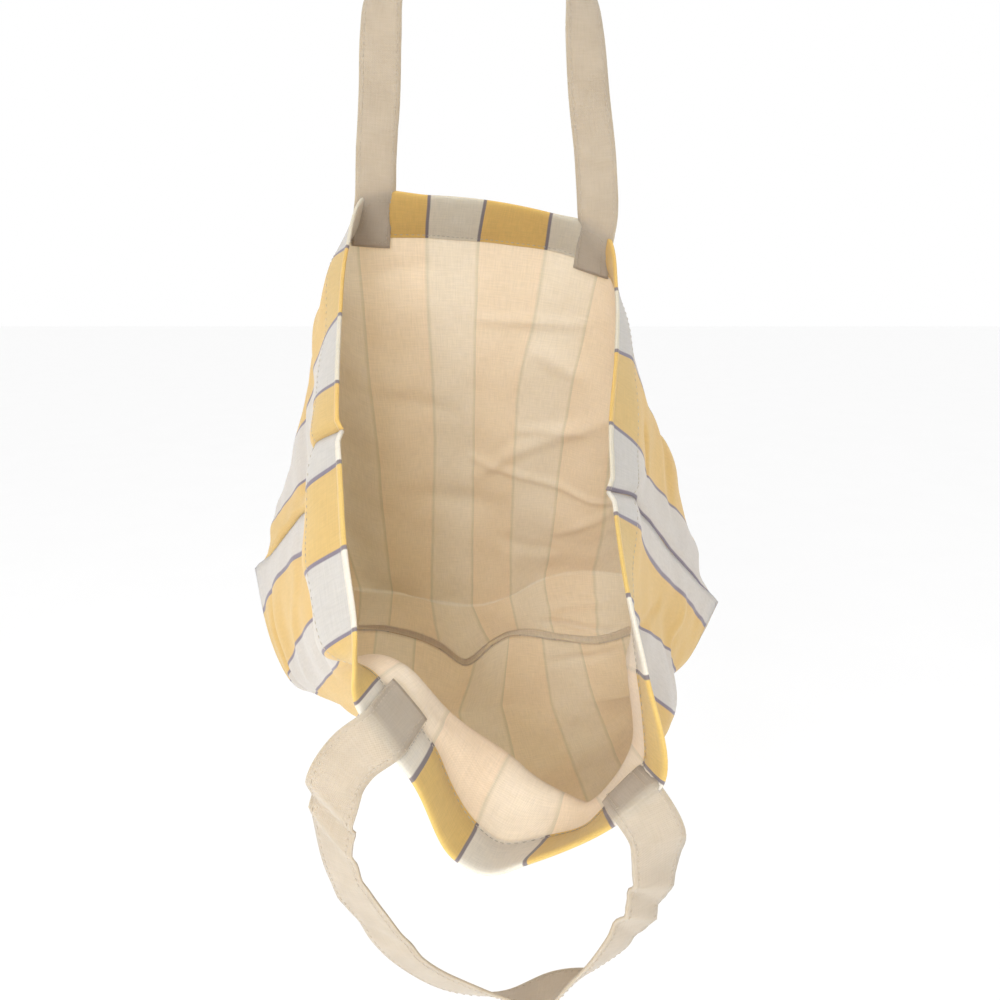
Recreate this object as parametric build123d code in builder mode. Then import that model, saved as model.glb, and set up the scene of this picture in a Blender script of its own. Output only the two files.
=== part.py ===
from build123d import *
from math import cos, hypot, radians, sin
import os

os.makedirs("parts", exist_ok=True)

# A cotton tote bag that hangs open by its rear handle. X runs across the bag, Y from the
# front panel to the back panel, Z up. The origin is where a hand or hook carries the rear
# handle. The mouth tips forward, so the back panel leans away and the front panel sags.

# Cloth and thread, in millimetres
cloth = 1.2
hem_cloth = 2 * cloth
hem_depth = 35
thread = 1.0
thread_proud = 0.4
seam_allowance = 5.5
seam_thickness = 1.6
gap = 1.2

# Handles
strap_width = 25
strap_cloth = 1.6
handle_spacing = 140
handle_rise = 115
handle_corner = 45
hinge_clearance = 7
sewn_length = hem_depth + 5
stitch_inset = 3
end_below_rim = 1
topstitch_out = 9.5
hinge_in = 3
hinge_out = 2

# The bag's section at mid-width: (y, z) from the rear rim, before it is hung
hang_tilt = -3.2
rear_rim = (0, 0)
front_rim = (-195, -236)
front_sag = (-80, -395)
front_fold = (70, -369)
back_fold = (203, -325)
side_rim_run = 151
bottom_corner = (116, -280)
base_middle = (136.5, -347)

# The side seams leave the mouth side_rim_run below the rear rim. Half widths of the section:
# the straight middle, the panels without their sides, the side rim and the pointed corners
middle_half = 90
panel_half = 86
side_rim_half = 94
corner_half = 198
reach = 900


def hung(point):
    """Turn a section point about the rear rim by hang_tilt and set it below the origin."""
    turn = radians(hang_tilt)
    y = point[0] * cos(turn) - point[1] * sin(turn)
    z = point[0] * sin(turn) + point[1] * cos(turn)
    return (y, z - handle_rise)


def along(start, end, distance):
    """The point at a distance from start on the line towards end."""
    length = hypot(end[0] - start[0], end[1] - start[1])
    share = distance / length
    return (start[0] + (end[0] - start[0]) * share, start[1] + (end[1] - start[1]) * share)


rear_rim = hung(rear_rim)
front_rim = hung(front_rim)
front_sag = hung(front_sag)
front_fold = hung(front_fold)
back_fold = hung(back_fold)
side_rim = along(rear_rim, front_rim, side_rim_run)
bottom_corner = hung(bottom_corner)
base_middle = hung(base_middle)

# Hinge lines: the rear handle turns just inside its rim, the front one just outside
rear_hinge = (rear_rim[0] - hinge_in, rear_rim[1])
front_hinge = (front_rim[0] - hinge_out, front_rim[1] + hinge_out)

# The bag's outer surface is the hull of these corners
section = [rear_rim, front_rim, front_sag, front_fold, back_fold]
corners = [(side * middle_half, y, z) for side in (-1, 1) for y, z in section]
corners += [(side * side_rim_half, *side_rim) for side in (-1, 1)]
corners += [(side * corner_half, *bottom_corner) for side in (-1, 1)]

# The mouth's plane faces out of the bag, from the rear rim down to the front rim
mouth_length = hypot(front_rim[0] - rear_rim[0], front_rim[1] - rear_rim[1])
mouth_y = (rear_rim[0] - front_rim[0]) / mouth_length
mouth_z = (rear_rim[1] - front_rim[1]) / mouth_length
mouth_out = Vector(0, -mouth_z, mouth_y)


def bag_shell(thickness):
    """The bag's outer surface, hollowed to a thickness and open at the mouth."""
    with BuildPart() as shell:
        ConvexPolyhedron(corners)
        mouth = [face for face in shell.faces() if (face.normal_at() - mouth_out).length < 0.01]
        offset(amount=-thickness, openings=mouth)
    return shell.part


panel_shell = bag_shell(cloth)
hem_shell = bag_shell(hem_cloth)
thread_shell = bag_shell(hem_cloth + thread_proud)


def wedge(targets, across, inset=0.0):
    """A prism along X whose outline fans out from the bottom corner through the targets."""
    rays = [along(bottom_corner, target, reach) for target in targets]
    with BuildPart() as prism:
        with BuildSketch(Plane.YZ.offset(across[0])):
            with BuildLine():
                Polyline(bottom_corner, *rays, close=True)
            make_face()
            if inset:
                offset(amount=-inset, kind=Kind.INTERSECTION)
        extrude(amount=across[1] - across[0])
    return prism.part


def mouth_band(near, far):
    """Everything between two depths below the mouth's plane."""
    start = Vector(0, *rear_rim) - mouth_out * near
    with BuildPart() as band:
        with BuildSketch(Plane(origin=start, x_dir=(1, 0, 0), z_dir=-mouth_out)):
            Rectangle(2 * reach, 2 * reach)
        extrude(amount=far - near)
    return band.part


across_bag = (-reach / 2, reach / 2)
across_left = (-reach / 2, -panel_half)
across_middle = (-panel_half, panel_half)
across_right = (panel_half, reach / 2)
above_rim = (rear_rim[0], rear_rim[1] + reach)
back_targets = [side_rim, above_rim, back_fold]
back_wedge = wedge(back_targets, across_bag)
back_left_wedge = wedge(back_targets, across_left)
back_middle_wedge = wedge(back_targets, across_middle)
back_right_wedge = wedge(back_targets, across_right)
base_back_wedge = wedge([back_fold, base_middle], across_bag)
base_front_wedge = wedge([base_middle, front_fold], across_bag)
front_wedge = wedge([front_fold, side_rim], across_middle, gap)
left_wedge = wedge([front_fold, side_rim], across_left, gap)
right_wedge = wedge([front_fold, side_rim], across_right, gap)

hem_band = mouth_band(-1, hem_depth)
thread_band = mouth_band(hem_depth, hem_depth + thread)
panel_band = mouth_band(hem_depth + thread, reach)


# Back panel and its two sides: one piece of cloth from side seam to side seam
with BuildPart() as back_panel:
    add(panel_shell)
    add(back_middle_wedge, mode=Mode.INTERSECT)
    add(panel_band, mode=Mode.INTERSECT)

with BuildPart() as back_left_side:
    add(panel_shell)
    add(back_left_wedge, mode=Mode.INTERSECT)
    add(panel_band, mode=Mode.INTERSECT)

with BuildPart() as back_right_side:
    add(panel_shell)
    add(back_right_wedge, mode=Mode.INTERSECT)
    add(panel_band, mode=Mode.INTERSECT)

# The same cloth's hem, folded in double along the rim, and the row of stitches that holds it
with BuildPart() as back_hem:
    add(hem_shell)
    add(back_middle_wedge, mode=Mode.INTERSECT)
    add(hem_band, mode=Mode.INTERSECT)

with BuildPart() as left_side_hem:
    add(hem_shell)
    add(back_left_wedge, mode=Mode.INTERSECT)
    add(hem_band, mode=Mode.INTERSECT)

with BuildPart() as right_side_hem:
    add(hem_shell)
    add(back_right_wedge, mode=Mode.INTERSECT)
    add(hem_band, mode=Mode.INTERSECT)

with BuildPart() as back_hem_stitching:
    add(thread_shell)
    add(back_wedge, mode=Mode.INTERSECT)
    add(thread_band, mode=Mode.INTERSECT)

# The base: the lower ends of the back and front cloth, joined by a seam along its middle
with BuildPart() as base_back:
    add(panel_shell)
    add(base_back_wedge, mode=Mode.INTERSECT)

with BuildPart() as base_front:
    add(panel_shell)
    add(base_front_wedge, mode=Mode.INTERSECT)

# Front panel, between its two sides, which fold as the mouth closes
with BuildPart() as front_panel:
    add(panel_shell)
    add(front_wedge, mode=Mode.INTERSECT)
    add(panel_band, mode=Mode.INTERSECT)

with BuildPart() as front_hem:
    add(hem_shell)
    add(front_wedge, mode=Mode.INTERSECT)
    add(hem_band, mode=Mode.INTERSECT)

with BuildPart() as front_hem_stitching:
    add(thread_shell)
    add(front_wedge, mode=Mode.INTERSECT)
    add(thread_band, mode=Mode.INTERSECT)

with BuildPart() as front_left_side:
    add(panel_shell)
    add(left_wedge, mode=Mode.INTERSECT)

with BuildPart() as front_right_side:
    add(panel_shell)
    add(right_wedge, mode=Mode.INTERSECT)


# Seam allowances stand inside the bag, as strips between the outer surface and a smaller one
with BuildPart() as seam_shell_builder:
    add(bag_shell(cloth + seam_allowance))
    add(panel_shell, mode=Mode.SUBTRACT)
seam_shell = seam_shell_builder.part


def seam_slab(target, across):
    """A slab one seam thick, on the upper side of the ray from the bottom corner to target."""
    run_y = (target[0] - bottom_corner[0]) / reach
    run_z = (target[1] - bottom_corner[1]) / reach
    ray = Vector(0, run_y, run_z).normalized()
    side = Vector(0, ray.Z, -ray.Y)
    if side.Z < 0:
        side = -side
    start = Vector(across[0], *bottom_corner) + side * (seam_thickness / 2)
    with BuildPart() as slab:
        with BuildSketch(Plane(origin=start, x_dir=ray, z_dir=(1, 0, 0))):
            Rectangle(2 * reach, seam_thickness)
        extrude(amount=across[1] - across[0])
    return slab.part


with BuildPart() as left_side_seam:
    add(seam_shell)
    add(seam_slab(side_rim, (across_bag[0], 0)), mode=Mode.INTERSECT)
    add(back_wedge, mode=Mode.INTERSECT)
    add(panel_band, mode=Mode.INTERSECT)

with BuildPart() as right_side_seam:
    add(seam_shell)
    add(seam_slab(side_rim, (0, across_bag[1])), mode=Mode.INTERSECT)
    add(back_wedge, mode=Mode.INTERSECT)
    add(panel_band, mode=Mode.INTERSECT)

with BuildPart() as bottom_seam:
    add(seam_shell)
    add(seam_slab(base_middle, across_bag), mode=Mode.INTERSECT)
    add(base_back_wedge, mode=Mode.INTERSECT)


def hem_plane(rim, below, side):
    """A plane on a hem's inner face at the rim. Its Z points into the bag."""
    down = Vector(0, below[0] - rim[0], below[1] - rim[1]).normalized()
    inward = Vector(1, 0, 0).cross(down) * side
    origin = Vector(0, *rim) + inward * (hem_cloth + thread_proud)
    return Plane(origin=origin, x_dir=(1, 0, 0), z_dir=inward)


def sewn_end(plane, x, side):
    """A handle's end, sewn flat on the inside of the hem."""
    with BuildPart() as end:
        with BuildSketch(plane):
            with Locations((x, side * (end_below_rim + sewn_length / 2))):
                Rectangle(strap_width, sewn_length)
        extrude(amount=strap_cloth)
    return end.part


def end_stitching(plane, side):
    """A square of stitches on each of a panel's two sewn ends."""
    top = plane.offset(strap_cloth)
    with BuildPart() as stitches:
        with BuildSketch(top):
            with Locations(
                (-handle_spacing / 2, side * (end_below_rim + sewn_length / 2)),
                (handle_spacing / 2, side * (end_below_rim + sewn_length / 2)),
            ):
                Rectangle(strap_width - 2 * stitch_inset, sewn_length - 2 * stitch_inset)
                Rectangle(
                    strap_width - 2 * stitch_inset - 2 * thread,
                    sewn_length - 2 * stitch_inset - 2 * thread,
                    mode=Mode.SUBTRACT,
                )
        extrude(amount=thread_proud)
    return stitches.part


rear_plane = hem_plane(rear_rim, back_fold, -1)
front_plane = hem_plane(front_rim, front_sag, 1)

# Handle ends, each sewn inside its hem under a square of stitches
with BuildPart() as rear_handle_left_end:
    add(sewn_end(rear_plane, -handle_spacing / 2, -1))

with BuildPart() as rear_handle_right_end:
    add(sewn_end(rear_plane, handle_spacing / 2, -1))

with BuildPart() as rear_handle_end_stitching:
    add(end_stitching(rear_plane, -1))

with BuildPart() as front_handle_left_end:
    add(sewn_end(front_plane, -handle_spacing / 2, 1))

with BuildPart() as front_handle_right_end:
    add(sewn_end(front_plane, handle_spacing / 2, 1))

with BuildPart() as front_handle_end_stitching:
    add(end_stitching(front_plane, 1))


def handle_line(base, crown, outward):
    """A handle's line, moved outward from its middle, from one end over its crown to the other."""
    half = handle_spacing / 2 + outward
    rise = 1 if crown > base else -1
    top = crown + rise * outward
    points = [(-half, base), (-half, top), (half, top), (half, base)]
    return FilletPolyline(*points, radius=handle_corner + outward)


def handle(y, base, crown):
    """A flat handle in an upright plane."""
    with BuildPart() as loop:
        with BuildSketch(Plane.XZ.offset(-y)):
            with BuildLine():
                handle_line(base, crown, 0)
            trace(line_width=strap_width)
        extrude(amount=strap_cloth / 2, both=True)
    return loop.part


def topstitching(y, base, crown):
    """A row of stitches along each edge of a handle, on its front face."""
    with BuildPart() as rows:
        for outward in (-topstitch_out, topstitch_out):
            with BuildSketch(Plane.XZ.offset(-y + strap_cloth / 2)):
                with BuildLine():
                    handle_line(base, crown, outward)
                trace(line_width=thread)
            extrude(amount=thread_proud)
    return rows.part


# Handles: the rear one rises to the hand, and the front one hangs from the front rim
with BuildPart() as rear_handle:
    add(handle(rear_hinge[0], rear_hinge[1] + hinge_clearance, strap_width / 2))

with BuildPart() as rear_handle_topstitching:
    add(topstitching(rear_hinge[0], rear_hinge[1] + hinge_clearance, strap_width / 2))

front_crown = front_hinge[1] - handle_rise - strap_width / 2
with BuildPart() as front_handle:
    add(handle(front_hinge[0], front_hinge[1] - hinge_clearance, front_crown))

with BuildPart() as front_handle_topstitching:
    add(topstitching(front_hinge[0], front_hinge[1] - hinge_clearance, front_crown))

pieces = {
    "back_panel": back_panel,
    "back_left_side": back_left_side,
    "back_right_side": back_right_side,
    "back_hem": back_hem,
    "left_side_hem": left_side_hem,
    "right_side_hem": right_side_hem,
    "back_hem_stitching": back_hem_stitching,
    "base_back": base_back,
    "base_front": base_front,
    "bottom_seam": bottom_seam,
    "left_side_seam": left_side_seam,
    "right_side_seam": right_side_seam,
    "front_panel": front_panel,
    "front_hem": front_hem,
    "front_hem_stitching": front_hem_stitching,
    "front_left_side": front_left_side,
    "front_right_side": front_right_side,
    "rear_handle_left_end": rear_handle_left_end,
    "rear_handle_right_end": rear_handle_right_end,
    "rear_handle_end_stitching": rear_handle_end_stitching,
    "front_handle_left_end": front_handle_left_end,
    "front_handle_right_end": front_handle_right_end,
    "front_handle_end_stitching": front_handle_end_stitching,
    "rear_handle": rear_handle,
    "rear_handle_topstitching": rear_handle_topstitching,
    "front_handle": front_handle,
    "front_handle_topstitching": front_handle_topstitching,
}
for name, piece in pieces.items():
    piece.part.label = name
    export_step(piece.part, f"parts/{name}.step")
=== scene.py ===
import math

import bpy
import numpy as np
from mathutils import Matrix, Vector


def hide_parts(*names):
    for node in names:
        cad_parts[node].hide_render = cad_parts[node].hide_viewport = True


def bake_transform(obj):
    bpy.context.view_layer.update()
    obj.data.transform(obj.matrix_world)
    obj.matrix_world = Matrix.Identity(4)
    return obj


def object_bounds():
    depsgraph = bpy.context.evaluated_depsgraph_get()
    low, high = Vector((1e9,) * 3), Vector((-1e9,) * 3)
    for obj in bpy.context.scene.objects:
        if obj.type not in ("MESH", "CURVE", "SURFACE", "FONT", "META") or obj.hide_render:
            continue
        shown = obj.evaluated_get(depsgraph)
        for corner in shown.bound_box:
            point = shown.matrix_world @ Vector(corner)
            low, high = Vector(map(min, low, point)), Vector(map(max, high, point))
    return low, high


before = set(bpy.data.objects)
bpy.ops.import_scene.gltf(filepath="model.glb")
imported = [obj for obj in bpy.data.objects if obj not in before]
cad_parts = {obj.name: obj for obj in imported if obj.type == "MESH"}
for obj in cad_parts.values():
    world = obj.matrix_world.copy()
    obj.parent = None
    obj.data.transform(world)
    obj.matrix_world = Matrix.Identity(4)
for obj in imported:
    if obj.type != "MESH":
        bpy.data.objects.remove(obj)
cad_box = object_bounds()

# ---- Studio: a pale floor under the hanging bag, two soft lamps and the camera.
# The bag hangs from its rear handle, so nothing stands on the floor. The camera stands in
# front of the mouth and looks a little down into the bag.
MM = 0.001
FLOOR_GAP = 0.35
CAMERA_AT = (9 * MM, -497 * MM, -159 * MM)
CAMERA_DOWN = 15.6
CAMERA_LENS = 27


def deselect_all():
    for item in list(bpy.context.selected_objects):
        item.select_set(False)


def linear(colour):
    """An sRGB hex colour as the linear RGBA that a shader socket takes."""
    parts = [int(colour[i:i + 2], 16) / 255 for i in (1, 3, 5)]
    return tuple(c / 12.92 if c <= 0.04045 else ((c + 0.055) / 1.055) ** 2.4 for c in parts) + (1,)


def new_material(name):
    material = bpy.data.materials.new(name)
    material.use_nodes = True
    material.node_tree.nodes.clear()
    return material


def add_node(material, kind, values=None, links=None, **settings):
    """Adds one node with its settings, its socket values and what feeds its sockets."""
    made = material.node_tree.nodes.new(kind)
    for name, value in settings.items():
        setattr(made, name, value)
    for name, value in (values or {}).items():
        made.inputs[name].default_value = value
    for name, source in (links or {}).items():
        material.node_tree.links.new(source, made.inputs[name])
    return made


# Matt white paint: even and without gloss
floor_paint = new_material("matt_white_paint")
paint_place = add_node(floor_paint, "ShaderNodeTexCoord")
paint_grain = add_node(floor_paint, "ShaderNodeTexNoise", {"Scale": 6.0},
                       {"Vector": paint_place.outputs["Object"]})
paint_tint = add_node(floor_paint, "ShaderNodeMapRange", {"To Min": 0.95, "To Max": 0.97},
                      {"Value": paint_grain.outputs["Fac"]})
paint_shader = add_node(floor_paint, "ShaderNodeBsdfPrincipled", {"Roughness": 0.9},
                        {"Base Color": paint_tint.outputs["Result"]})
add_node(floor_paint, "ShaderNodeOutputMaterial", None, {"Surface": paint_shader.outputs["BSDF"]})

deselect_all()
bpy.ops.mesh.primitive_plane_add(size=30, location=(0, 0, cad_box[0].z - FLOOR_GAP))
floor = bpy.context.object
floor.name = "floor"
floor.data.materials.append(floor_paint)

studio = bpy.data.worlds.new("studio")
studio.use_nodes = True
studio.node_tree.nodes["Background"].inputs["Color"].default_value = (1, 1, 1, 1)
studio.node_tree.nodes["Background"].inputs["Strength"].default_value = 1.0
bpy.context.scene.world = studio

deselect_all()
bpy.ops.object.light_add(type="AREA", location=(-0.5, -1.5, 0.15))
lamp = bpy.context.object
lamp.name = "soft_lamp"
lamp.data.size = 0.8
lamp.data.energy = 11
lamp.rotation_euler = (math.radians(73), 0, math.radians(-18))

deselect_all()
bpy.ops.object.light_add(type="SPOT", location=(-0.08, -1.2, 0.05))
mouth_lamp = bpy.context.object
mouth_lamp.name = "lamp_into_mouth"
mouth_lamp.data.energy = 18
mouth_lamp.data.spot_size = math.radians(24)
mouth_lamp.data.spot_blend = 1.0
mouth_lamp.data.shadow_soft_size = 0.12
mouth_lamp.rotation_euler = (math.radians(69), 0, math.radians(-3))

deselect_all()
bpy.ops.object.camera_add(location=CAMERA_AT, rotation=(math.radians(90 - CAMERA_DOWN), 0, 0))
camera = bpy.context.object
camera.data.lens = CAMERA_LENS
camera.data.clip_start = 0.01
bpy.context.scene.camera = camera
bpy.context.scene.view_settings.view_transform = "Standard"

# ---- Back cloth: one piece of printed plain weave cotton, 450 mm wide. It runs from the
# rear rim down the back and under the base to the bottom seam, and its edges are sewn to
# the front cloth's in the two side seams.
CUT_WIDTH = 450
PANEL_DROP = 385
BASE_DROP = 65
CLOTH_THICK = 0.6
CELL = 3.0
BASE_SAG = 12
SEED = 11
UNREST = 0.7
UNREST_WAVES = 14
SHORTEST_WAVE, WAVE_SPREAD, WAVE_PHASES, WAVE_DIVIDER = 30, 90, 6.28, 3.5
HELD_AT_RIM, HELD_AT_SIDE, HELD_AT_BASE = 30, 12, 8

# How the cloth hangs, in millimetres: for each distance across the cut, the points it
# passes at these distances down from the rim. The two cloths share their side seams.
DOWN_MARKS = (0, 35, 80, 130, 200, 290, 385)
LEFT_SIDE_LINE = [(-76, -111, -228), (-96, -89, -240), (-98, -64, -261), (-113, -35, -288),
                  (-132, -4, -309), (-160, 33, -342), (-187, 66, -373)]
RIGHT_SIDE_LINE = [(67, -125, -257), (85, -99, -268), (91, -74, -281), (105, -50, -298),
                   (125, -19, -326), (153, 18, -360), (183, 57, -398)]
BACK_HANG = {
    0: LEFT_SIDE_LINE,
    35: [(-79, -90, -206), (-98, -65, -218), (-103, -42, -241), (-120, -10, -274), (-145, 28, -305),
         (-172, 69, -343), (-180, 107, -392)],
    69: [(-83, -54, -172), (-99, -31, -188), (-113, -3, -217), (-129, 24, -245), (-150, 66, -280),
         (-172, 115, -347), (-160, 147, -418)],
    110: [(-83, -23, -134), (-99, 5, -141), (-110, 30, -168), (-120, 57, -202), (-130, 97, -262),
          (-134, 136, -347), (-124, 167, -433)],
    145: [(-76, 5, -102), (-84, 23, -127), (-86, 41, -173), (-88, 61, -218), (-89, 90, -279),
          (-92, 129, -360), (-94, 171, -437)],
    186.5: [(-35, 5, -102), (-39, 26, -125), (-41, 43, -173), (-41, 63, -218), (-43, 92, -279),
            (-50, 131, -361), (-57, 172, -446)],
    221: [(0, 3, -105), (-5, 25, -127), (-8, 43, -173), (-10, 63, -218), (-12, 92, -279),
          (-15, 131, -361), (-18, 171, -451)],
    262.5: [(41, -1, -113), (39, 19, -133), (33, 40, -177), (24, 60, -221), (21, 90, -281),
            (19, 128, -360), (19, 172, -441)],
    297: [(73, -8, -123), (72, 9, -145), (68, 31, -182), (62, 53, -225), (57, 85, -284),
          (55, 121, -356), (51, 165, -420)],
    338.5: [(79, -32, -158), (86, -9, -165), (90, 14, -194), (92, 37, -234), (93, 69, -289),
            (95, 103, -353), (94, 141, -404)],
    373: [(76, -60, -192), (91, -32, -201), (102, -14, -222), (116, 19, -244), (133, 57, -275),
          (141, 96, -342), (137, 120, -402)],
    414.5: [(69, -96, -228), (89, -76, -245), (98, -47, -265), (111, -17, -282), (136, 21, -310),
            (162, 62, -352), (170, 94, -401)],
    450: RIGHT_SIDE_LINE,
}
BOTTOM_SEAM = {
    0: (-164, 47, -356), 35: (-146, 72, -396), 69: (-133, 93, -426), 110: (-116, 103, -444),
    145: (-91, 115, -452), 186.5: (-44, 110, -467), 203: (-21, 101, -478), 221: (2, 113, -465),
    262.5: (27, 120, -458), 297: (58, 115, -460), 338.5: (96, 100, -456), 373: (123, 89, -441),
    414.5: (146, 68, -412), 450: (161, 41, -378),
}
# Creases and soft folds: across and down at both ends, half width and height, outward
BACK_CREASES = [
    (140, 60, 190, 52, 5, 2.0), (222, 86, 296, 80, 4, -2.0), (268, 104, 300, 122, 7, -2.5),
    (262, 180, 314, 170, 5, -2.0), (226, 228, 338, 148, 7, -3.0), (220, 212, 344, 250, 4, -2.2),
    (150, 150, 205, 168, 9, 2.0), (160, 250, 250, 262, 12, 2.5), (180, 120, 175, 330, 14, 2.0),
    (300, 300, 345, 262, 6, -2.5), (250, 300, 300, 330, 8, 2.0), (20, 150, 90, 120, 10, -3.0),
    (40, 240, 110, 300, 12, 3.0), (360, 140, 420, 190, 9, -3.0), (350, 260, 420, 300, 12, 3.0),
    (290, 428, 352, 440, 4, -4.0), (300, 415, 345, 410, 4, 3.0), (60, 60, 120, 95, 9, 2.5),
    (395, 70, 412, 100, 4, -4.0),
]


def through(marks, points, at):
    """A smooth line through points given at marks, read at other distances."""
    marks, points, at = np.asarray(marks, float), np.asarray(points, float), np.asarray(at, float)
    steps = np.diff(marks)
    shape = (-1,) + (1,) * (points.ndim - 1)
    slopes = np.diff(points, axis=0) / steps.reshape(shape)
    tangents = np.empty_like(points)
    tangents[0], tangents[-1] = slopes[0], slopes[-1]
    before, after = steps[:-1].reshape(shape), steps[1:].reshape(shape)
    tangents[1:-1] = (slopes[:-1] * after + slopes[1:] * before) / (before + after)
    cell = np.clip(np.searchsorted(marks, at, side="right") - 1, 0, len(steps) - 1)
    t = ((at - marks[cell]) / steps[cell]).reshape(shape)
    step = steps[cell].reshape(shape)
    a, b, ta, tb = points[cell], points[cell + 1], tangents[cell] * step, tangents[cell + 1] * step
    return ((2 * t**3 - 3 * t**2 + 1) * a + (t**3 - 2 * t**2 + t) * ta
            + (3 * t**2 - 2 * t**3) * b + (t**3 - t**2) * tb)


def unit(vectors):
    return vectors / np.maximum(np.linalg.norm(vectors, axis=-1, keepdims=True), 1e-9)


def hang(columns, facing):
    """A cut cloth's places, one row for each distance across, from the table of how it hangs."""
    across = np.linspace(0, CUT_WIDTH, int(CUT_WIDTH / CELL) + 1)
    panel_down = np.linspace(0, PANEL_DROP, int(PANEL_DROP / CELL) + 1)
    base_share = np.linspace(0, 1, int(BASE_DROP / CELL) + 1)[1:]
    lines = through(DOWN_MARKS, np.array(list(columns.values()), float).transpose(1, 0, 2), panel_down)
    panel = through(list(columns), lines.transpose(1, 0, 2), across)
    seam = through(list(BOTTOM_SEAM), list(BOTTOM_SEAM.values()), across)
    t = base_share[None, :, None]
    base = panel[:, -1:] * (1 - t) + seam[:, None] * t
    base[..., 2] -= (BASE_SAG * t * (1 - t))[..., 0]
    return {
        "across": across,
        "down": np.concatenate([panel_down, PANEL_DROP + base_share * BASE_DROP]),
        "place": np.concatenate([panel, base], axis=1),
        "facing": facing,
    }


def outward(cloth):
    """The direction out of the bag at each place on a cloth."""
    along_u = np.gradient(cloth["place"], axis=0)
    along_v = np.gradient(cloth["place"], axis=1)
    return unit(np.cross(along_u, along_v)) * cloth["facing"]


def crease(cloth, creases):
    """Presses the listed creases into a cloth, and a slight unevenness all over."""
    u, v = np.meshgrid(cloth["across"], cloth["down"], indexing="ij")
    raised = np.zeros_like(u)
    for u0, v0, u1, v1, width, height in creases:
        run = np.array([u1 - u0, v1 - v0], float)
        length = np.hypot(*run)
        share = ((u - u0) * run[0] + (v - v0) * run[1]) / length**2
        away = np.hypot(u - u0 - np.clip(share, 0, 1) * run[0], v - v0 - np.clip(share, 0, 1) * run[1])
        fade = np.sin(np.pi * np.clip(share * 0.8 + 0.1, 0.02, 0.98)) ** 0.6
        raised += height * fade * np.exp(-(away / width) ** 2)
    chance = np.random.default_rng(SEED)
    for wave in chance.uniform(0, 1, (UNREST_WAVES, 3)):
        angle, length = wave[0] * math.pi, SHORTEST_WAVE + WAVE_SPREAD * wave[1]
        raised += UNREST * np.sin((u * math.cos(angle) + v * math.sin(angle)) * 2 * math.pi / length
                                  + wave[2] * WAVE_PHASES) / WAVE_DIVIDER
    held = (np.clip(v / HELD_AT_RIM, 0, 1) * np.clip(u / HELD_AT_SIDE, 0, 1)
            * np.clip((CUT_WIDTH - u) / HELD_AT_SIDE, 0, 1))
    held *= np.clip((PANEL_DROP + BASE_DROP - v) / HELD_AT_BASE, 0, 1)
    cloth["place"] = cloth["place"] + outward(cloth) * (raised * held)[..., None]


def read_cloth(cloth, field, u, v):
    """A cloth's place or other field at any distances across and down."""
    grid = cloth[field]
    iu = np.interp(u, cloth["across"], np.arange(len(cloth["across"])))
    iv = np.interp(v, cloth["down"], np.arange(len(cloth["down"])))
    a = np.clip(iu.astype(int), 0, grid.shape[0] - 2)
    b = np.clip(iv.astype(int), 0, grid.shape[1] - 2)
    s, t = (iu - a)[..., None], (iv - b)[..., None]
    return ((1 - s) * (1 - t) * grid[a, b] + s * (1 - t) * grid[a + 1, b]
            + (1 - s) * t * grid[a, b + 1] + s * t * grid[a + 1, b + 1])


def sheet_mesh(name, places, cut, flip, materials):
    """A sheet from a grid of places in millimetres, with its cut size as a UV map in metres."""
    rows, columns = places.shape[:2]
    index = np.arange(rows * columns).reshape(rows, columns)
    corners = [index[:-1, :-1], index[1:, :-1], index[1:, 1:], index[:-1, 1:]]
    faces = np.stack(corners[::-1] if flip else corners, axis=-1).reshape(-1, 4)
    mesh = bpy.data.meshes.new(name)
    mesh.from_pydata((places.reshape(-1, 3) * MM).tolist(), [], faces.tolist())
    layer = mesh.uv_layers.new(name="cut")
    layer.data.foreach_set("uv", (cut.reshape(-1, 2)[faces.ravel()] * MM).ravel())
    for material in materials:
        mesh.materials.append(material)
    mesh.polygons.foreach_set("use_smooth", [True] * len(faces))
    piece = bpy.data.objects.new(name, mesh)
    bpy.context.scene.collection.objects.link(piece)
    return piece


def thicken(piece, thick, inner_slot=0):
    """Gives a sheet its cloth thickness, inward from its outer face."""
    deselect_all()
    bpy.context.view_layer.objects.active = piece
    piece.select_set(True)
    solid = piece.modifiers.new("thickness", "SOLIDIFY")
    solid.thickness = thick * MM
    solid.offset = -1
    solid.material_offset = inner_slot
    bpy.ops.object.modifier_apply(modifier=solid.name)


# Printed plain weave cotton: matt, slightly fuzzy, with slubs along both sets of threads.
# The threads are 0.5 mm apart and are drawn at 1 mm, because finer ones don't show.
STRIPE_REPEAT = 76
YELLOW_STRIPE, WHITE_STRIPE, PIN_STRIPE = 39.5, 32.5, 2.0
YELLOW_PRINT, WHITE_PRINT, PIN_PRINT = "#CDA768", "#BFB8AF", "#7A717C"
YELLOW_BEHIND, WHITE_BEHIND, PIN_BEHIND = "#E7CDB6", "#E2D0BD", "#CFC0AD"
THREAD_PITCH = 1.0


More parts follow.
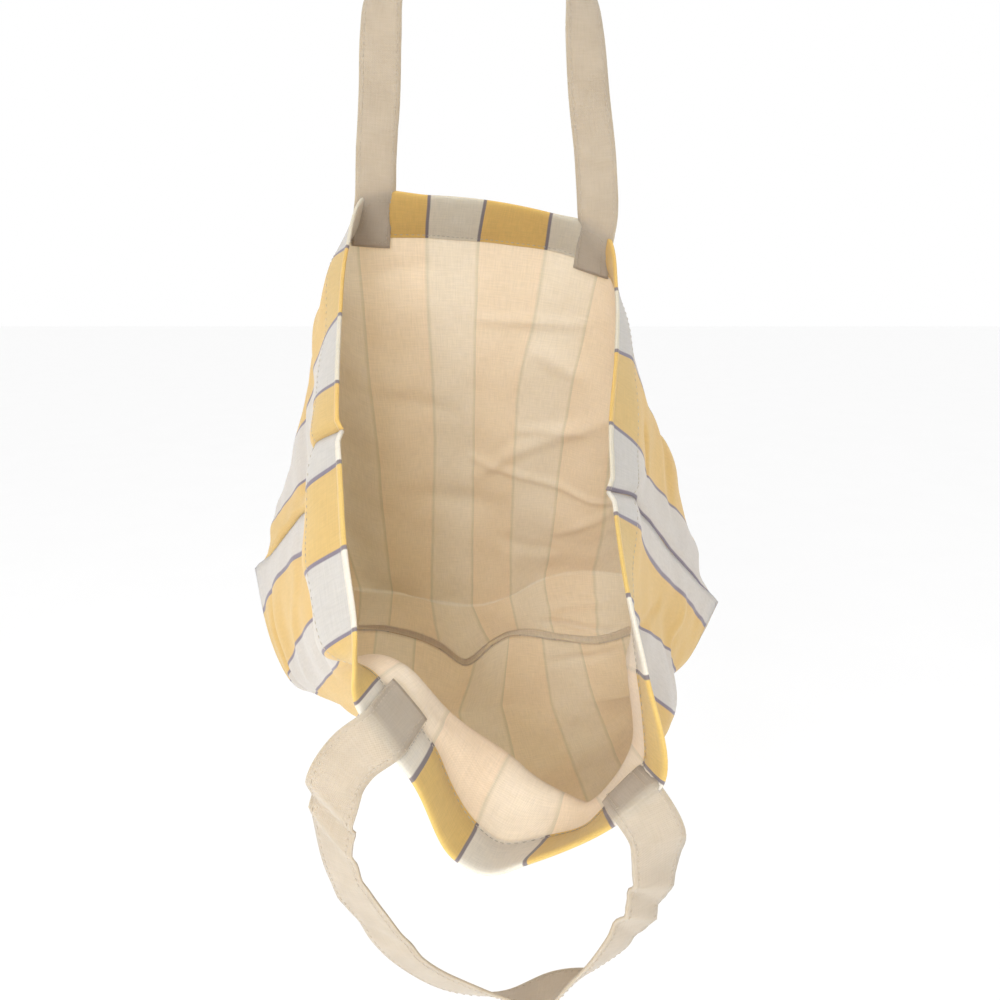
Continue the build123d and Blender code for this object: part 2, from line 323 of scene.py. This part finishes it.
def striped_cotton(name, first_yellow, colours, edge):
    """Cotton with its stripes across the cut. first_yellow is where a yellow stripe starts."""
    material = new_material(name)
    cut = add_node(material, "ShaderNodeUVMap", uv_map="cut")
    split = add_node(material, "ShaderNodeSeparateXYZ", None, {"Vector": cut.outputs["UV"]})
    drift = add_node(material, "ShaderNodeTexNoise", {"Scale": 18.0, "Detail": 2.0},
                     {"Vector": cut.outputs["UV"]})
    wander = add_node(material, "ShaderNodeMath", {1: 0.0016}, {0: drift.outputs["Fac"]},
                      operation="MULTIPLY")
    moved = add_node(material, "ShaderNodeMath", None,
                     {0: split.outputs["X"], 1: wander.outputs["Value"]}, operation="ADD")
    repeat = add_node(material, "ShaderNodeMath",
                      {1: 1000 / STRIPE_REPEAT, 2: -(first_yellow + 0.8) / STRIPE_REPEAT + 4},
                      {0: moved.outputs["Value"]}, operation="MULTIPLY_ADD")
    phase = add_node(material, "ShaderNodeMath", None, {0: repeat.outputs["Value"]},
                     operation="FRACT")
    stripes = add_node(material, "ShaderNodeValToRGB", None, {"Fac": phase.outputs["Value"]})
    yellow, white, pin = (linear(c) for c in colours)
    first_pin, second_pin = YELLOW_STRIPE, YELLOW_STRIPE + PIN_STRIPE + WHITE_STRIPE
    stops = [(edge, yellow), (first_pin - edge, yellow), (first_pin + edge, pin),
             (first_pin + PIN_STRIPE - edge, pin), (first_pin + PIN_STRIPE + edge, white),
             (second_pin - edge, white), (second_pin + edge, pin),
             (STRIPE_REPEAT - edge, pin)]
    ramp = stripes.color_ramp
    ramp.elements[0].position, ramp.elements[0].color = stops[0][0] / STRIPE_REPEAT, stops[0][1]
    ramp.elements[1].position, ramp.elements[1].color = stops[-1][0] / STRIPE_REPEAT, stops[-1][1]
    for position, colour in stops[1:-1]:
        stop = ramp.elements.new(position / STRIPE_REPEAT)
        stop.color = colour
    finish_weave(material, cut.outputs["UV"], stripes.outputs["Color"], 0.12)
    return material


def finish_weave(material, cut, colour, unevenness):
    """Adds the weave's threads, slubs and fuzz to a colour, and the cloth's shader."""
    warp = add_node(material, "ShaderNodeMapping", {"Scale": (1100, 90, 1)}, {"Vector": cut})
    weft = add_node(material, "ShaderNodeMapping", {"Scale": (90, 1100, 1)}, {"Vector": cut})
    warp_slub = add_node(material, "ShaderNodeTexNoise", {"Scale": 1.0, "Detail": 2.0},
                         {"Vector": warp.outputs["Vector"]})
    weft_slub = add_node(material, "ShaderNodeTexNoise", {"Scale": 1.0, "Detail": 2.0},
                         {"Vector": weft.outputs["Vector"]})
    slubs = add_node(material, "ShaderNodeMath", None,
                     {0: warp_slub.outputs["Fac"], 1: weft_slub.outputs["Fac"]}, operation="ADD")
    wear = add_node(material, "ShaderNodeTexNoise", {"Scale": 25.0, "Detail": 4.0}, {"Vector": cut})
    mottle = add_node(material, "ShaderNodeMath", {1: 0.6, 2: 0.0},
                      {0: wear.outputs["Fac"]}, operation="MULTIPLY_ADD")
    uneven = add_node(material, "ShaderNodeMath", None,
                      {0: slubs.outputs["Value"], 1: mottle.outputs["Value"]}, operation="ADD")
    shade = add_node(material, "ShaderNodeMapRange",
                     {"From Min": 0.9, "From Max": 1.7, "To Min": 1 - unevenness,
                      "To Max": 1 + unevenness * 0.4}, {"Value": uneven.outputs["Value"]})
    tinted = add_node(material, "ShaderNodeMix", {"Factor": 1.0}, None, data_type="RGBA",
                      blend_type="MULTIPLY")
    material.node_tree.links.new(colour, tinted.inputs[6])
    material.node_tree.links.new(shade.outputs["Result"], tinted.inputs[7])
    threads = add_node(material, "ShaderNodeMapping",
                       {"Scale": (2 * math.pi * 1000 / THREAD_PITCH,) * 3}, {"Vector": cut})
    split = add_node(material, "ShaderNodeSeparateXYZ", None, {"Vector": threads.outputs["Vector"]})
    over = add_node(material, "ShaderNodeMath", None, {0: split.outputs["X"]}, operation="SINE")
    under = add_node(material, "ShaderNodeMath", None, {0: split.outputs["Y"]}, operation="SINE")
    crossing = add_node(material, "ShaderNodeMath", None,
                        {0: over.outputs["Value"], 1: under.outputs["Value"]},
                        operation="MULTIPLY")
    height = add_node(material, "ShaderNodeMath", {1: 0.35},
                      {0: crossing.outputs["Value"], 2: slubs.outputs["Value"]},
                      operation="MULTIPLY_ADD")
    bump = add_node(material, "ShaderNodeBump", {"Strength": 0.35, "Distance": 0.0003},
                    {"Height": height.outputs["Value"]})
    shader = add_node(material, "ShaderNodeBsdfPrincipled",
                      {"Roughness": 0.88, "IOR": 1.46, "Specular IOR Level": 0.25,
                       "Sheen Weight": 0.18, "Sheen Roughness": 0.5,
                       "Subsurface Weight": 0.6, "Subsurface Radius": (1.0, 0.85, 0.6),
                       "Subsurface Scale": 0.004},
                      {"Base Color": tinted.outputs[2], "Normal": bump.outputs["Normal"]})
    add_node(material, "ShaderNodeOutputMaterial", None, {"Surface": shader.outputs["BSDF"]})


BACK_FIRST_YELLOW = -6
back_print = striped_cotton("printed_cotton_back", BACK_FIRST_YELLOW,
                            (YELLOW_PRINT, WHITE_PRINT, PIN_PRINT), 0.25)
back_reverse = striped_cotton("cotton_reverse_back", BACK_FIRST_YELLOW,
                              (YELLOW_BEHIND, WHITE_BEHIND, PIN_BEHIND), 0.9)

back = hang(BACK_HANG, 1)
back["name"] = "back_cloth"
crease(back, BACK_CREASES)

# ---- Front cloth: the same cotton, cut the same, from the front rim down the front and
# under the base. Its upper part tips forward under the front handle's weight and folds
# over, so that its unprinted inside shows.
FRONT_FIRST_YELLOW = 17
FRONT_HANG = {
    0: LEFT_SIDE_LINE,
    16: [(-72, -128, -242), (-94, -111, -260), (-93, -90, -281), (-106, -66, -306),
         (-129, -31, -331), (-157, 11, -366), (-177, 47, -402)],
    57.5: [(-64, -164, -275), (-87, -149, -293), (-91, -115, -322), (-104, -83, -348),
           (-124, -41, -383), (-146, 0, -423), (-156, 33, -455)],
    92: [(-56, -190, -305), (-75, -172, -324), (-78, -135, -350), (-92, -91, -379),
         (-111, -44, -414), (-127, -1, -446), (-133, 36, -470)],
    112: [(-55, -202, -317), (-58, -179, -329), (-56, -150, -338), (-76, -107, -378),
          (-97, -54, -420), (-110, -5, -452), (-116, 38, -477)],
    134.5: [(-53, -211, -330), (-47, -183, -333), (-40, -157, -341), (-61, -122, -381),
            (-82, -63, -426), (-92, -10, -459), (-97, 39, -482)],
    168: [(-29, -221, -360), (-23, -191, -363), (-18, -156, -367), (-24, -135, -405),
          (-44, -72, -440), (-56, -8, -471), (-65, 43, -491)],
    210.5: [(-9, -229, -395), (-2, -201, -400), (15, -156, -393), (9, -138, -446), (2, -98, -489),
            (-12, -20, -510), (-23, 46, -490)],
    228: [(5, -230, -401), (12, -203, -408), (28, -161, -402), (24, -142, -450), (16, -100, -492),
          (4, -20, -512), (-6, 46, -489)],
    245: [(21, -229, -396), (33, -202, -406), (42, -169, -406), (44, -150, -448), (36, -105, -490),
          (26, -22, -510), (11, 47, -485)],
    286.5: [(58, -226, -379), (58, -198, -391), (59, -173, -405), (74, -150, -430),
            (70, -105, -472), (66, -25, -497), (52, 48, -484)],
    322: [(80, -219, -361), (78, -191, -371), (78, -154, -386), (88, -138, -412), (92, -95, -450),
          (94, -25, -480), (88, 48, -481)],
    363: [(75, -195, -324), (76, -167, -336), (78, -134, -352), (91, -102, -379), (120, -70, -418),
          (128, -8, -445), (122, 46, -474)],
    397.5: [(69, -172, -294), (77, -142, -311), (85, -111, -332), (97, -84, -353), (116, -41, -383),
            (135, 0, -417), (150, 44, -453)],
    439: [(67, -137, -265), (83, -112, -279), (90, -86, -294), (105, -59, -320), (125, -25, -347),
          (150, 13, -379), (175, 52, -415)],
    450: RIGHT_SIDE_LINE,
}
FRONT_CREASES = [
    (40, 100, 90, 150, 12, -4.0), (30, 180, 90, 240, 12, 3.0), (20, 300, 80, 330, 10, -3.0),
    (66, 44, 92, 90, 9, -5.0), (370, 90, 420, 160, 8, -3.0), (360, 220, 430, 260, 12, 3.0),
    (150, 170, 230, 200, 12, 3.0), (250, 200, 320, 170, 12, -3.0), (190, 300, 300, 320, 14, 3.0),
    (180, 40, 240, 60, 8, 1.6), (150, 46, 190, 60, 7, -1.4), (290, 428, 352, 440, 4, -3.0),
]
front_print = striped_cotton("printed_cotton_front", FRONT_FIRST_YELLOW,
                             (YELLOW_PRINT, WHITE_PRINT, PIN_PRINT), 0.25)
front_reverse = striped_cotton("cotton_reverse_front", FRONT_FIRST_YELLOW,
                               (YELLOW_BEHIND, WHITE_BEHIND, PIN_BEHIND), 0.9)

front = hang(FRONT_HANG, -1)
front["name"] = "front_cloth"
crease(front, FRONT_CREASES)

# ---- Side seams: the two cloths' edges, sewn together inside the bag and overlocked. The
# cloth dips into a narrow groove along each seam, and the raw edges stand inside.
GROOVE = 3.0
GROOVE_WIDTH = 3.5
ALLOWANCE = 6.0
ALLOWANCE_THICK = 1.2
ALLOWANCE_COLUMNS = 5
ALLOWANCE_SWAY, SWAY_LENGTH, SWAY_DRIFT = 2.0, 17, 41
SEAM_START, SEAM_END, SEAM_FADE = 34, 322, 40


def seam_inward(edge):
    """The direction into the bag along one side seam."""
    return -unit(outward(back)[edge] + outward(front)[edge])


for edge in (0, -1):
    inward = seam_inward(edge)
    for cloth in (back, front):
        away = np.abs(cloth["across"] - cloth["across"][edge])
        depth = GROOVE * np.exp(-(away / GROOVE_WIDTH) ** 2)[:, None]
        depth = depth * np.clip((SEAM_END + SEAM_FADE - cloth["down"]) / SEAM_FADE, 0, 1)[None]
        cloth["place"] = cloth["place"] + depth[..., None] * inward[None]

for cloth in (back, front):
    cloth["out"] = outward(cloth)


def full_cloth(name, cloth, materials):
    u, v = np.meshgrid(cloth["across"], cloth["down"], indexing="ij")
    piece = sheet_mesh(name, cloth["place"], np.stack([u, v], -1), cloth["facing"] < 0, materials)
    thicken(piece, CLOTH_THICK, 1)
    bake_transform(piece)
    return piece


back_cloth = full_cloth("back_cloth", back, (back_print, back_reverse))
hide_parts("back_panel", "back_left_side", "back_right_side", "base_back")
front_cloth = full_cloth("front_cloth", front, (front_print, front_reverse))
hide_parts("front_panel", "front_left_side", "front_right_side", "base_front")

# Raw cloth edges under overlock thread: duller than the cloth, with slanting thread
overlocked = new_material("overlocked_cotton_edge")
edge_cut = add_node(overlocked, "ShaderNodeUVMap", uv_map="cut")
edge_turn = add_node(overlocked, "ShaderNodeMapping", {"Rotation": (0, 0, 0.6), "Scale": (420, 420, 1)},
                     {"Vector": edge_cut.outputs["UV"]})
edge_bands = add_node(overlocked, "ShaderNodeTexWave", {"Scale": 1.0, "Distortion": 1.2},
                      {"Vector": edge_turn.outputs["Vector"]})
edge_colour = add_node(overlocked, "ShaderNodeValToRGB", None, {"Fac": edge_bands.outputs["Fac"]})
# Pale raw cotton, lightened further: painted light that makes up for the shade the seam allowances lie in
edge_colour.color_ramp.elements[0].color = linear("#E6D4B8")
edge_colour.color_ramp.elements[1].color = linear("#F2E4CD")
finish_weave(overlocked, edge_cut.outputs["UV"], edge_colour.outputs["Color"], 0.15)


def allowance(name, roots, inward, node):
    """A strip of raw edges standing off a seam into the bag."""
    count = len(roots)
    run = np.concatenate([[0], np.cumsum(np.linalg.norm(np.diff(roots, axis=0), axis=1))])
    lean = unit(np.cross(np.gradient(roots, axis=0), inward))
    rows = []
    for share in np.linspace(0, 1, ALLOWANCE_COLUMNS):
        drift = 1.3 * np.sin(run / SWAY_DRIFT)
        sway = ALLOWANCE_SWAY * share**2 * np.sin(run / SWAY_LENGTH + drift)
        rows.append(roots + inward * (CLOTH_THICK + ALLOWANCE * share) + lean * sway[:, None])
    places = np.stack(rows, axis=1)
    off_seam = np.linspace(0, ALLOWANCE, ALLOWANCE_COLUMNS)
    cut = np.stack([np.repeat(run[:, None], ALLOWANCE_COLUMNS, 1), np.repeat(off_seam[None], count, 0)], -1)
    piece = sheet_mesh(name, places, cut, False, (overlocked,))
    thicken(piece, ALLOWANCE_THICK)
    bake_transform(piece)
    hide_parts(node)
    return piece


on_side = (back["down"] > SEAM_START) & (back["down"] < SEAM_END)
left_seam = allowance("left_seam_allowance", back["place"][0][on_side], seam_inward(0)[on_side],
                      "left_side_seam")
right_seam = allowance("right_seam_allowance", back["place"][-1][on_side], seam_inward(-1)[on_side],
                       "right_side_seam")

# ---- Bottom seam: the lower ends of the two cloths, sewn together along the middle of the
# base. Its allowance is inside the bag and lies over towards the back.
CORNER_CELLS = 12
ROWS_TO_BACK = 5
LIFT = 0.45
on_base = slice(CORNER_CELLS, -CORNER_CELLS)
up_from_seam = -unit(back["out"][on_base, -1] + front["out"][on_base, -1])
to_back = unit(back["place"][on_base, -1 - ROWS_TO_BACK] - back["place"][on_base, -1])
bottom_allowance = allowance("bottom_seam_allowance", back["place"][on_base, -1],
                             unit(LIFT * up_from_seam + to_back), "bottom_seam")

# ---- Hems: the cloth's top 35 mm folded into the bag, so that its printed side shows there,
# and held by a row of stitches near its lower edge.
HEM_THICK = 0.5
HEM_STITCH_ROW = 33.0
# The fold from outside to inside: distance down from the rim, and distance into the bag
HEM_PROFILE = [(2.5, -0.45), (0.6, -0.55), (-0.5, -0.2), (-0.9, 0.4), (-0.6, 1.1), (0.6, 1.7),
               (4, 1.9), (12, 2.0), (22, 1.9), (30, 1.6), (32.5, 1.0), (33.5, 1.0), (34.6, 1.5),
               (35.2, 1.2), (35.3, 0.7)]
# The hems carry the same print as the panels in lighter colours. This is painted light that lifts the hems
# out of the shade inside the rim, most of all on the front hem's white, which faces down.
hem_back_print_painted_light = striped_cotton("printed_cotton_back_hem_painted_light", BACK_FIRST_YELLOW,
                                ("#E2B066", "#D8C9B0", "#7E7476"), 0.25)
hem_front_print_painted_light = striped_cotton("printed_cotton_front_hem_painted_light", FRONT_FIRST_YELLOW,
                                 ("#E0B369", "#E9DAC2", "#7E7476"), 0.25)


def hem(name, cloth, material, nodes):
    """The folded hem, from just outside the rim, over it and down to the row of stitches."""
    u = cloth["across"][:, None]
    v = np.array([p[0] for p in HEM_PROFILE])[None]
    inside = np.array([p[1] for p in HEM_PROFILE])[None, :, None]
    u, v = np.broadcast_arrays(u, v)
    places = read_cloth(cloth, "place", u, np.maximum(v, 0))
    above = np.minimum(v, 0)[..., None]
    first = read_cloth(cloth, "place", u, np.zeros_like(v))
    second = read_cloth(cloth, "place", u, np.full_like(v, 6.0))
    places = places + unit(second - first) * above
    places = places - read_cloth(cloth, "out", u, np.maximum(v, 0)) * inside
    piece = sheet_mesh(name, places, np.stack([u, v], -1), cloth["facing"] > 0, (material,))
    thicken(piece, HEM_THICK)
    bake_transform(piece)
    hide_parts(*nodes)
    return piece


back_hem = hem("back_hem_fold", back, hem_back_print_painted_light, ("back_hem", "left_side_hem", "right_side_hem"))
front_hem = hem("front_hem_fold", front, hem_front_print_painted_light, ("front_hem",))

# Spun polyester sewing thread: finer and a little glossier than the cloth, with a twist
thread = new_material("spun_sewing_thread")
thread_place = add_node(thread, "ShaderNodeTexCoord")
thread_twist = add_node(thread, "ShaderNodeTexNoise", {"Scale": 900.0},
                        {"Vector": thread_place.outputs["Object"]})
thread_colour = add_node(thread, "ShaderNodeValToRGB", None, {"Fac": thread_twist.outputs["Fac"]})
thread_colour.color_ramp.elements[0].color = linear("#A39682")
thread_colour.color_ramp.elements[1].color = linear("#CBBFAC")
thread_shader = add_node(thread, "ShaderNodeBsdfPrincipled",
                         {"Roughness": 0.6, "Sheen Weight": 0.15, "Specular IOR Level": 0.4},
                         {"Base Color": thread_colour.outputs["Color"]})
add_node(thread, "ShaderNodeOutputMaterial", None, {"Surface": thread_shader.outputs["BSDF"]})

STITCH_PITCH = 3.2
STITCH_LONG, STITCH_WIDE, STITCH_HIGH = 2.3, 0.5, 0.4
deselect_all()
bpy.ops.mesh.primitive_uv_sphere_add(segments=6, ring_count=4, radius=0.5, location=(0, 0, 0))
one_stitch = bpy.context.object
stitch_verts = np.array([v.co for v in one_stitch.data.vertices])
# The operator lists its faces in another order on each run, so they are put in one order
stitch_faces = [list(p.vertices) for p in one_stitch.data.polygons]
stitch_faces = sorted(face[face.index(min(face)):] + face[:face.index(min(face))] for face in stitch_faces)
bpy.data.objects.remove(one_stitch)


def stitches(name, places, runs, outs):
    """A run of thread stitches lying along the given directions."""
    shape = stitch_verts * (STITCH_LONG, STITCH_WIDE, STITCH_HIGH)
    runs, outs = unit(runs), unit(outs)
    sides = unit(np.cross(outs, runs))
    outs = np.cross(runs, sides)
    verts = (places[:, None] + shape[None, :, 0:1] * runs[:, None] + shape[None, :, 1:2] * sides[:, None]
             + shape[None, :, 2:3] * outs[:, None]).reshape(-1, 3)
    faces = [[i + n * len(shape) for i in face] for n in range(len(places)) for face in stitch_faces]
    mesh = bpy.data.meshes.new(name)
    mesh.from_pydata((verts * MM).tolist(), [], faces)
    mesh.materials.append(thread)
    mesh.polygons.foreach_set("use_smooth", [True] * len(faces))
    piece = bpy.data.objects.new(name, mesh)
    bpy.context.scene.collection.objects.link(piece)
    return piece


def hem_stitches(name, cloth, node):
    """Stitches along a hem, on both faces of the cloth."""
    u = np.arange(2.0, CUT_WIDTH - 1, STITCH_PITCH)
    v = np.full_like(u, HEM_STITCH_ROW)
    place, out = read_cloth(cloth, "place", u, v), read_cloth(cloth, "out", u, v)
    run = np.gradient(place, axis=0)
    piece = stitches(name, np.concatenate([place - out * 1.25, place + out * 0.1]),
                     np.concatenate([run, run]), np.concatenate([-out, out]))
    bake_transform(piece)
    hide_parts(node)
    return piece


back_hem_thread = hem_stitches("back_hem_thread", back, "back_hem_stitching")
front_hem_thread = hem_stitches("front_hem_thread", front, "front_hem_stitching")

# ---- Handles: two flat tapes of folded unprinted cotton, 25 mm wide, topstitched along both
# edges. Each end is sewn inside its hem under a square of stitches.
TAPE_WIDTH = 25
TAPE_THICK = 1.2
TAPE_LAYER = 3.6
TAPE_CROWN = 0.5
TAPE_COLUMNS = 11
TAPE_STEP = 2.5
TOPSTITCH_INSET = 2.6
SEWN = 40
SEWN_MARKS = (SEWN, 26, 12, 1.0)
SIDE_REACH = 8
tape_cotton = new_material("unbleached_cotton_tape")
tape_cut = add_node(tape_cotton, "ShaderNodeUVMap", uv_map="cut")
tape_cloud = add_node(tape_cotton, "ShaderNodeTexNoise", {"Scale": 60.0, "Detail": 3.0},
                      {"Vector": tape_cut.outputs["UV"]})
tape_colour = add_node(tape_cotton, "ShaderNodeValToRGB", None, {"Fac": tape_cloud.outputs["Fac"]})
tape_colour.color_ramp.elements[0].color = linear("#A99D8B")
tape_colour.color_ramp.elements[1].color = linear("#BBB0A0")
finish_weave(tape_cotton, tape_cut.outputs["UV"], tape_colour.outputs["Color"], 0.08)


def tape_line(cloth, centres, free, free_across, layer):
    """A handle's middle line and width direction, from one sewn end round to the other."""
    ends = []
    for centre, order in zip(centres, (1, -1)):
        v = np.array(SEWN_MARKS)
        u = np.full_like(v, centre)
        place = read_cloth(cloth, "place", u, v) - read_cloth(cloth, "out", u, v) * layer
        side = (read_cloth(cloth, "place", u + SIDE_REACH, v)
                - read_cloth(cloth, "place", u - SIDE_REACH, v))
        ends.append((place[::order], unit(side)[::order] * order))
    points = np.concatenate([ends[0][0], np.array(free, float), ends[1][0]])
    across = np.concatenate([ends[0][1], unit(np.array(free_across, float)), ends[1][1]])
    run = np.concatenate([[0], np.cumsum(np.linalg.norm(np.diff(points, axis=0), axis=1))])
    at = np.linspace(0, run[-1], int(run[-1] / TAPE_STEP))
    line = through(run, points, at)
    along = unit(np.gradient(line, axis=0))
    width = through(run, across, at)
    width = unit(width - along * np.sum(width * along, -1, keepdims=True))
    return at, line, along, width


def tape(name, cloth, centres, free, free_across, toward, folds):
    """A handle and its topstitching. toward is 1 where the tape's back face lies on the cloth.
    folds are creases across the tape: distance along it, slant, half width and height."""
    at, line, along, width = tape_line(cloth, centres, free, free_across, TAPE_LAYER)
    face = np.cross(along, width) * toward
    share = np.linspace(-0.5, 0.5, TAPE_COLUMNS)

    def raised(distance, share):
        """How far the tape's outer face stands out: a slight crown and the folds."""
        height = TAPE_CROWN * (1 - (2 * share) ** 4) + 0 * distance
        for where, slant, half_width, fold in folds:
            height = height + fold * np.exp(-((distance - where - slant * share) / half_width) ** 2)
        return height

    places = (line[:, None] + width[:, None] * (share * TAPE_WIDTH)[None, :, None]
              - face[:, None] * raised(at[:, None], share[None])[..., None])
    cut = np.stack([np.broadcast_to(share * TAPE_WIDTH, (len(at), TAPE_COLUMNS)),
                    np.broadcast_to(at[:, None], (len(at), TAPE_COLUMNS))], -1)
    piece = sheet_mesh(name, places, cut, toward > 0, (tape_cotton,))
    thicken(piece, TAPE_THICK)
    spots = np.arange(4.0, at[-1] - 4, STITCH_PITCH)
    rows = []
    for offset in (-TAPE_WIDTH / 2 + TOPSTITCH_INSET, TAPE_WIDTH / 2 - TOPSTITCH_INSET):
        surface = raised(at, offset / TAPE_WIDTH)
        for side, height in ((-1, -0.05), (1, TAPE_THICK + 0.05)):
            middle = through(at, line + width * offset + face * (height - surface)[:, None], spots)
            rows.append((middle, through(at, along, spots), through(at, face * side, spots)))
    sewing = stitches(name.replace("tape", "topstitches"),
                      *(np.concatenate([row[i] for row in rows]) for i in range(3)))
    return piece, sewing


def end_squares(name, cloth, centres, node):
    """The square of stitches on each of a handle's two sewn ends."""
    half, top, bottom = TAPE_WIDTH / 2 - TOPSTITCH_INSET, 5.0, SEWN - 3.0
    rows = []
    for centre in centres:
        for v in (top, bottom):
            u = np.arange(centre - half, centre + half + 0.1, STITCH_PITCH)
            rows.append((u, np.full_like(u, v)))
        for u in (centre - half, centre + half):
            v = np.arange(top + STITCH_PITCH, bottom - 1, STITCH_PITCH)
            rows.append((np.full_like(v, u), v))
    places, runs, outs = [], [], []
    for u, v in rows:
        place, out = read_cloth(cloth, "place", u, v), read_cloth(cloth, "out", u, v)
        places.append(place - out * (TAPE_LAYER + 0.45))
        runs.append(np.gradient(place, axis=0))
        outs.append(-out)
    piece = stitches(name, np.concatenate(places), np.concatenate(runs), np.concatenate(outs))
    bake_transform(piece)
    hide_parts(node)
    return piece


# The rear handle rises from the rear rim to the hand, and turns flat over it
REAR_CENTRES = (154, 293)
REAR_FREE = [(-67, 2, -82), (-63, 0, -45), (-61, 0, -14), (-59, 0, 3), (-54, 0, 15), (-43, 0, 23),
             (-26, 0, 27), (0, 0, 28), (26, 0, 27), (43, 0, 23), (53, 0, 15), (57, 0, 3),
             (59, 0, -14), (62, -1, -45), (67, -5, -86)]
REAR_ACROSS = [(1, 0, 0), (1, 0, 0), (1, -0.12, 0), (0.93, -0.35, 0), (0.75, -0.65, 0.2),
               (0.4, -0.9, 0.3), (0.1, -1, 0), (0, -1, 0), (-0.1, -1, 0), (-0.4, -0.9, 0.3),
               (-0.65, -0.75, 0.2), (-0.8, -0.6, 0), (-0.93, -0.35, 0), (-1, -0.1, 0), (-1, 0.1, 0)]
REAR_FOLDS = [(70, 14, 5, 0.8), (365, -12, 5, 0.8)]
rear_tape, rear_topstitches = tape("rear_handle_tape", back, REAR_CENTRES, REAR_FREE, REAR_ACROSS, 1,
                                    REAR_FOLDS)
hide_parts("rear_handle", "rear_handle_left_end", "rear_handle_right_end")
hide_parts("rear_handle_topstitching")
for piece in (rear_tape, rear_topstitches):
    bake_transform(piece)
end_squares("rear_handle_end_stitches", back, REAR_CENTRES, "rear_handle_end_stitching")

# The front handle leaves the front rim and hangs in a loop, turned a little where it falls
FRONT_CENTRES = (150, 302)
FRONT_FREE = [(-54, -220, -350), (-60, -223, -358), (-63, -223, -371), (-64, -222, -386),
              (-60, -222, -409), (-50, -221, -432), (-33, -220, -459), (-13, -219, -474),
              (9, -218, -481), (31, -219, -476), (50, -221, -463), (67, -222, -440),
              (76, -222, -418), (78, -223, -400), (77, -225, -386)]
FRONT_ACROSS = [(0.8, -0.2, -0.5), (0.95, -0.1, -0.35), (0.9, -0.45, 0), (0.8, -0.6, 0),
                (0.8, -0.55, 0.2), (0.7, -0.5, 0.5), (0.5, -0.5, 0.7), (0.1, -0.5, 0.85),
                (0, -0.7, 0.7), (-0.05, -0.93, 0.35), (-0.25, -0.7, 0.65), (-0.5, -0.5, 0.7),
                (-0.8, -0.5, 0.3), (-0.9, -0.4, 0.1), (-1, -0.1, -0.1)]
FRONT_FOLDS = [(72, 14, 3.5, 1.6), (80, 8, 3.0, -1.8), (88, 16, 3.5, 1.5), (118, -16, 5, 1.0),
               (150, 14, 6, -1.0), (252, -14, 6, 1.0), (292, 12, 4, -1.4), (303, 6, 3.2, 1.7),
               (312, 14, 3.2, -1.6), (321, 8, 3.5, 1.4)]
front_tape, front_topstitches = tape("front_handle_tape", front, FRONT_CENTRES, FRONT_FREE, FRONT_ACROSS, -1,
                                      FRONT_FOLDS)
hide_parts("front_handle", "front_handle_left_end", "front_handle_right_end")
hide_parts("front_handle_topstitching")
for piece in (front_tape, front_topstitches):
    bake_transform(piece)
end_squares("front_handle_end_stitches", front, FRONT_CENTRES, "front_handle_end_stitching")
